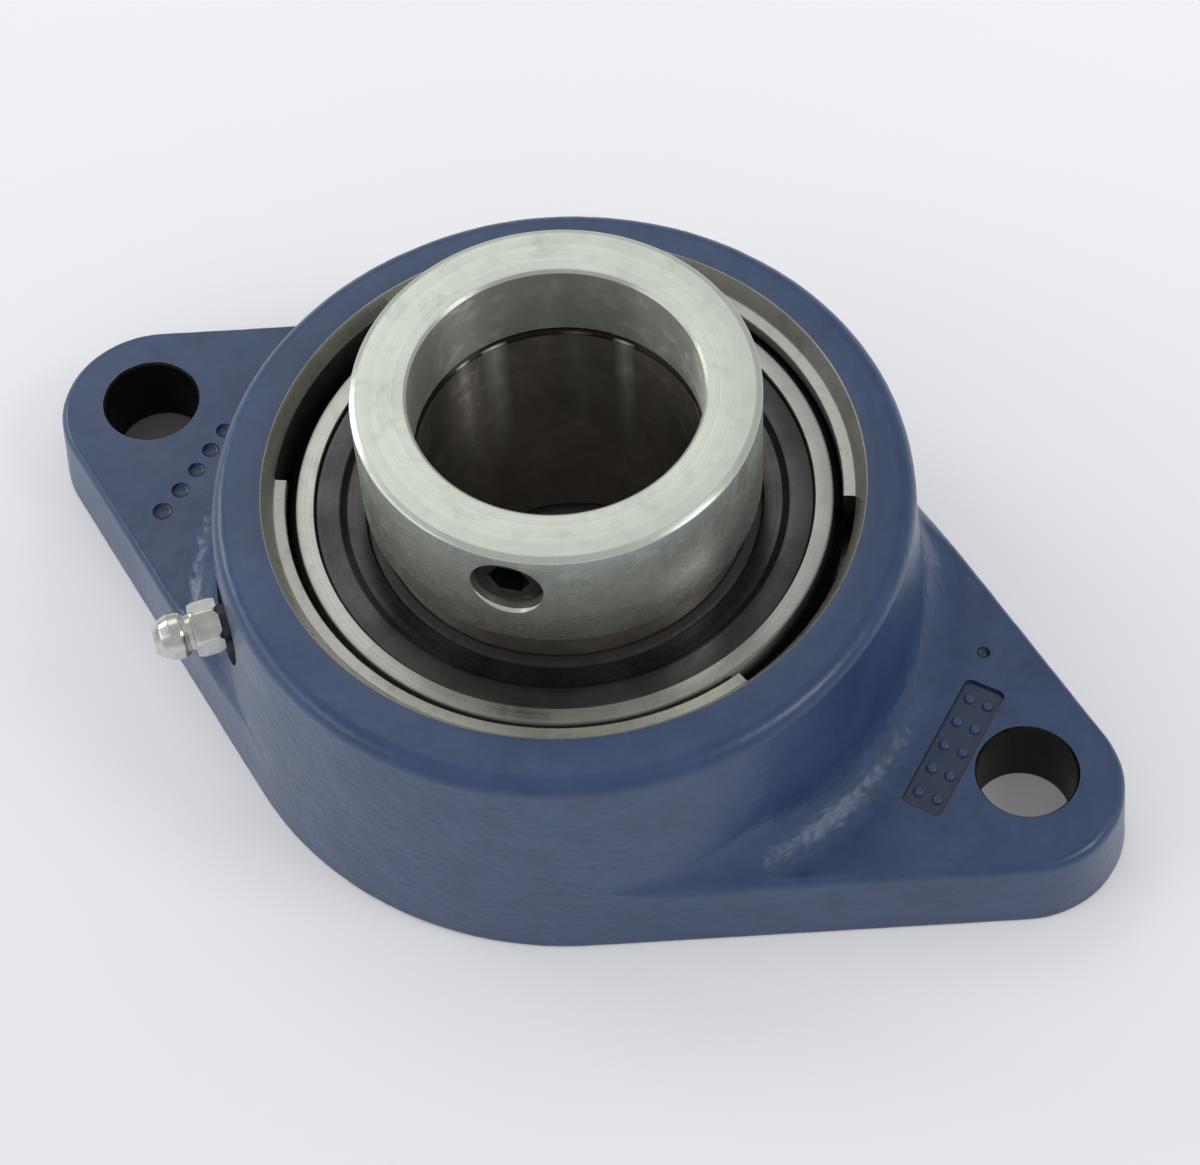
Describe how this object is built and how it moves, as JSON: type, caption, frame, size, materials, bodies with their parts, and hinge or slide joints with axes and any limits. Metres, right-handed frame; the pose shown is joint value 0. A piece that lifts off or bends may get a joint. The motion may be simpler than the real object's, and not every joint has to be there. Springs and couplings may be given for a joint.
{
  "type": "flange mount bearing",
  "caption": "Oval two-bolt flange bearing unit: cast housing, self-aligning insert bearing, eccentric locking collar with set screw, and grease nipple.",
  "frame": {"origin": "centre of the housing's mounting face, on the shaft axis, midway between the two bolt holes", "axes": "+Z along the shaft axis out of the housing mouth, towards the locking collar; +X through one bolt hole"},
  "size_m": [0.173, 0.1039, 0.0589],
  "materials": {
    "housing_paint": "satin slate-blue paint over cast iron, bare machined mouth",
    "bearing_steel": "ground bearing steel",
    "inner_steel": "ground and lightly oiled bearing steel",
    "ball_steel": "polished",
    "cage_steel": "pressed sheet steel",
    "seal_steel": "dark pressed steel, glossy",
    "seal_rubber": "matt nitrile",
    "collar_zinc": "turned, pale zinc finish",
    "black_oxide": "black oxide",
    "nipple_zinc": "bright zinc",
    "spring_steel": "drawn wire"
  },
  "bodies": {
    "housing": {"housing": "housing_paint", "grease_nipple": "nipple_zinc", "nipple_spring": "spring_steel"},
    "outer_ring": {"outer_ring": "bearing_steel", "front_seal_shield": "seal_steel", "front_seal_lip": "seal_rubber", "front_seal_washer": "seal_steel", "rear_seal_shield": "seal_steel", "rear_seal_lip": "seal_rubber", "rear_seal_washer": "seal_steel"},
    "inner_ring": {"inner_ring": "inner_steel"},
    "cage": {"cage_front_half": "cage_steel", "cage_rear_half": "cage_steel", "cage_rivets": "cage_steel"},
    "ball_1": {"ball_1": "ball_steel"},
    "ball_2": {"ball_2": "ball_steel"},
    "ball_3": {"ball_3": "ball_steel"},
    "ball_4": {"ball_4": "ball_steel"},
    "ball_5": {"ball_5": "ball_steel"},
    "ball_6": {"ball_6": "ball_steel"},
    "ball_7": {"ball_7": "ball_steel"},
    "ball_8": {"ball_8": "ball_steel"},
    "ball_9": {"ball_9": "ball_steel"},
    "locking_collar": {"locking_collar": "collar_zinc"},
    "collar_set_screw": {"collar_set_screw": "black_oxide"},
    "nipple_check_ball": {"nipple_check_ball": "ball_steel"}
  },
  "joints": [
    {"name": "insert_alignment", "type": "hinge", "parent": "housing", "child": "outer_ring", "pos_m": [0, 0, 0.024], "axis": [1, 0, 0], "range_deg": [-4, 4]},
    {"name": "shaft_spin", "type": "hinge", "parent": "outer_ring", "child": "inner_ring", "pos_m": [0, 0, 0.024], "axis": [0, 0, 1], "continuous": true},
    {"name": "cage_orbit", "type": "hinge", "parent": "outer_ring", "child": "cage", "pos_m": [0, 0, 0.024], "axis": [0, 0, 1], "continuous": true},
    {"name": "ball_1_roll", "type": "hinge", "parent": "cage", "child": "ball_1", "pos_m": [0.0304, 0, 0.024], "axis": [0, 0, 1], "continuous": true},
    {"name": "ball_2_roll", "type": "hinge", "parent": "cage", "child": "ball_2", "pos_m": [0.02329, 0.01954, 0.024], "axis": [0, 0, 1], "continuous": true},
    {"name": "ball_3_roll", "type": "hinge", "parent": "cage", "child": "ball_3", "pos_m": [0.00528, 0.02994, 0.024], "axis": [0, 0, 1], "continuous": true},
    {"name": "ball_4_roll", "type": "hinge", "parent": "cage", "child": "ball_4", "pos_m": [-0.0152, 0.02633, 0.024], "axis": [0, 0, 1], "continuous": true},
    {"name": "ball_5_roll", "type": "hinge", "parent": "cage", "child": "ball_5", "pos_m": [-0.02857, 0.0104, 0.024], "axis": [0, 0, 1], "continuous": true},
    {"name": "ball_6_roll", "type": "hinge", "parent": "cage", "child": "ball_6", "pos_m": [-0.02857, -0.0104, 0.024], "axis": [0, 0, 1], "continuous": true},
    {"name": "ball_7_roll", "type": "hinge", "parent": "cage", "child": "ball_7", "pos_m": [-0.0152, -0.02633, 0.024], "axis": [0, 0, 1], "continuous": true},
    {"name": "ball_8_roll", "type": "hinge", "parent": "cage", "child": "ball_8", "pos_m": [0.00528, -0.02994, 0.024], "axis": [0, 0, 1], "continuous": true},
    {"name": "ball_9_roll", "type": "hinge", "parent": "cage", "child": "ball_9", "pos_m": [0.02329, -0.01954, 0.024], "axis": [0, 0, 1], "continuous": true},
    {"name": "collar_lock", "type": "hinge", "parent": "inner_ring", "child": "locking_collar", "pos_m": [0, 0, 0.05], "axis": [0, 0, 1], "range_deg": [-20, 20]},
    {"name": "set_screw_feed", "type": "slide", "parent": "locking_collar", "child": "collar_set_screw", "axis": [0.2419, -0.9703, 0], "range_m": [-0.0003, 0.0025]},
    {"name": "nipple_valve", "type": "slide", "parent": "housing", "child": "nipple_check_ball", "axis": [0.7071, 0.7071, 0], "range_m": [0, 0.0012], "stiffness_N_per_m": 200, "springref_m": -0.001, "deforming": ["nipple_spring"]}
  ],
  "couplings": [
    {"joint": "cage_orbit", "follows": "shaft_spin", "ratio": 0.40132},
    {"joint": "ball_1_roll", "follows": "shaft_spin", "ratio": -2.4346},
    {"joint": "ball_2_roll", "follows": "shaft_spin", "ratio": -2.4346},
    {"joint": "ball_3_roll", "follows": "shaft_spin", "ratio": -2.4346},
    {"joint": "ball_4_roll", "follows": "shaft_spin", "ratio": -2.4346},
    {"joint": "ball_5_roll", "follows": "shaft_spin", "ratio": -2.4346},
    {"joint": "ball_6_roll", "follows": "shaft_spin", "ratio": -2.4346},
    {"joint": "ball_7_roll", "follows": "shaft_spin", "ratio": -2.4346},
    {"joint": "ball_8_roll", "follows": "shaft_spin", "ratio": -2.4346},
    {"joint": "ball_9_roll", "follows": "shaft_spin", "ratio": -2.4346}
  ]
}
